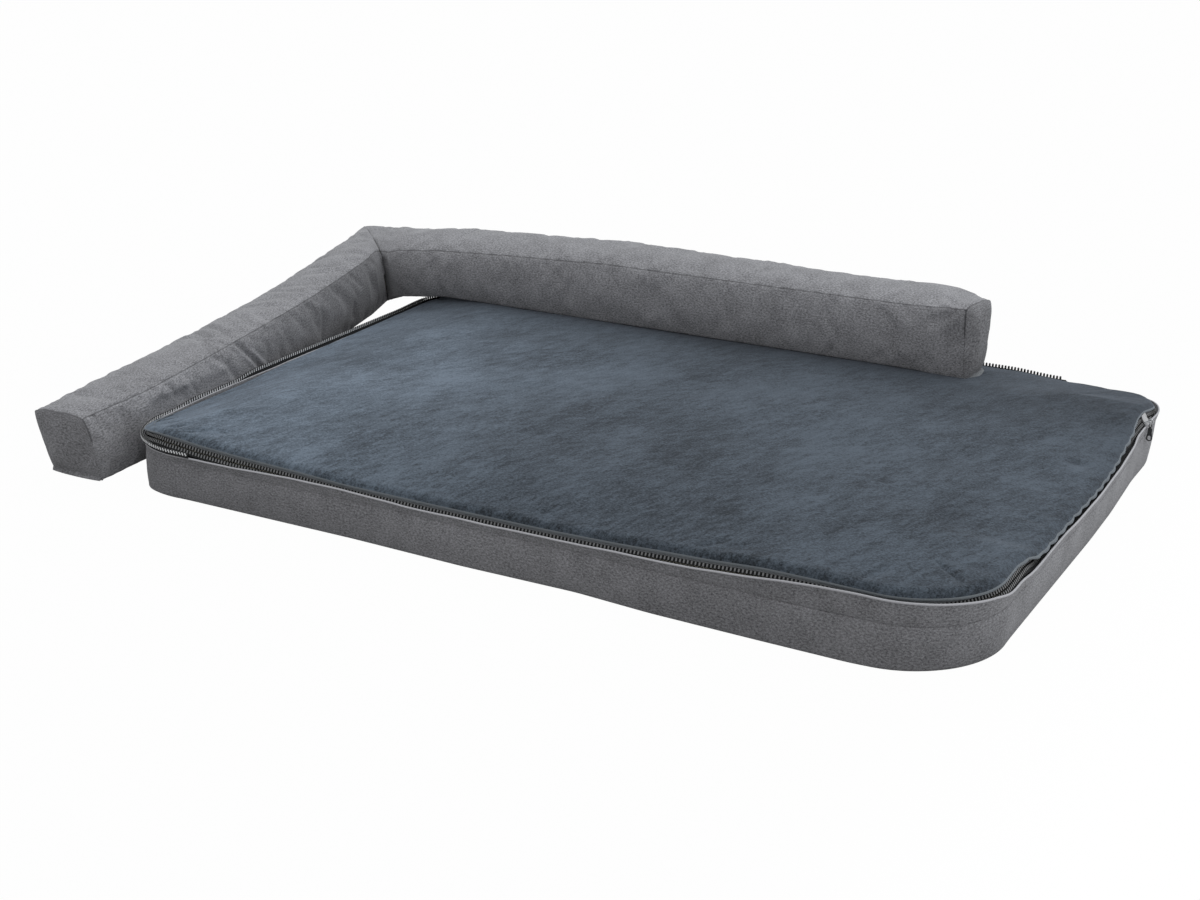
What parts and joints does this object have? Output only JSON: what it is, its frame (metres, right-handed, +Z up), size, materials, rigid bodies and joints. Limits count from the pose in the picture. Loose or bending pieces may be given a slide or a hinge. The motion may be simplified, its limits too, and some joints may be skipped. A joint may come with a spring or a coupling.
{
  "type": "dog bed mattress with a zip-on corner bolster",
  "caption": "Rounded rectangular dog mattress with a plush zip-off lid, grey side band and an L-shaped zip-on bolster laid loose on its back left corner.",
  "frame": {"origin": "middle of the mattress's flat underside, on the floor", "axes": "X runs to the right along the mattress's length, Y to the back across its depth, Z up"},
  "size_m": [1.1796, 0.7304, 0.1623],
  "materials": {
    "plush": "short brushed velvet-like pile, dark slate blue",
    "heather_cloth": "fine woven mid-grey heather polyester, matt",
    "zip_tape": "woven grey zip tape with a fine rib",
    "zip_teeth": "moulded dark acetal teeth",
    "zip_metal": "plated grey metal, lightly worn",
    "black_plastic": "satin black plastic",
    "foam": "open-cell cream foam"
  },
  "bodies": {
    "mattress": {"base_panel": "heather_cloth", "foam_core": "foam", "side_band": "heather_cloth", "zip_facing": "heather_cloth", "plush_lid": "plush", "lid_zip_tape": "zip_tape", "base_zip_tape": "zip_tape", "lid_zip_teeth": "zip_teeth", "base_zip_teeth": "zip_teeth", "main_zip_stops": "zip_metal", "comb_tape": "zip_tape", "comb_teeth": "zip_teeth", "comb_pin": "black_plastic"},
    "slider": {"main_slider": "zip_metal"},
    "pull_link": {"main_pull_link": "zip_metal"},
    "pull_ring": {"main_pull_ring": "zip_metal"},
    "pull_tab": {"main_pull_tab": "black_plastic"},
    "bolster": {"left_fill": "foam", "back_fill": "foam", "left_top_panel": "heather_cloth", "left_inner_panel": "heather_cloth", "left_outer_panel": "heather_cloth", "left_base_panel": "heather_cloth", "back_top_panel": "heather_cloth", "back_inner_panel": "heather_cloth", "back_outer_panel": "heather_cloth", "back_base_panel": "heather_cloth", "left_end_cap": "heather_cloth", "right_end_cap": "heather_cloth", "bolster_zip_tape": "zip_tape", "bolster_zip_teeth": "zip_teeth", "bolster_zip_box": "black_plastic"},
    "bolster_slide": {"bolster_slider": "zip_metal"},
    "bolster_tab": {"bolster_pull_tab": "black_plastic"}
  },
  "joints": [
    {"name": "main_slider_travel", "type": "slide", "parent": "mattress", "child": "slider", "axis": [0, -1, 0], "range_m": [0, 0.48]},
    {"name": "main_link_swing", "type": "hinge", "parent": "slider", "child": "pull_link", "pos_m": [0.50477, 0.247, 0.05974], "axis": [0, -1, 0], "range_deg": [0, 120]},
    {"name": "main_ring_swing", "type": "hinge", "parent": "pull_link", "child": "pull_ring", "pos_m": [0.50477, 0.247, 0.05639], "axis": [1, 0, 0], "range_deg": [-50, 50]},
    {"name": "main_tab_swing", "type": "hinge", "parent": "pull_ring", "child": "pull_tab", "pos_m": [0.50477, 0.247, 0.05369], "axis": [0, -1, 0], "range_deg": [0, 45]},
    {"name": "bolster_lift", "type": "slide", "parent": "mattress", "child": "bolster", "axis": [0, 0, 1], "range_m": [0, 0.3]},
    {"name": "bolster_slider_travel", "type": "slide", "parent": "bolster", "child": "bolster_slide", "axis": [-1, 0, 0], "range_m": [0, 0.35]},
    {"name": "bolster_tab_flip", "type": "hinge", "parent": "bolster_slide", "child": "bolster_tab", "pos_m": [0.19, 0.3532, 0.08183], "axis": [0, 1, 0], "range_deg": [0, 160]}
  ]
}
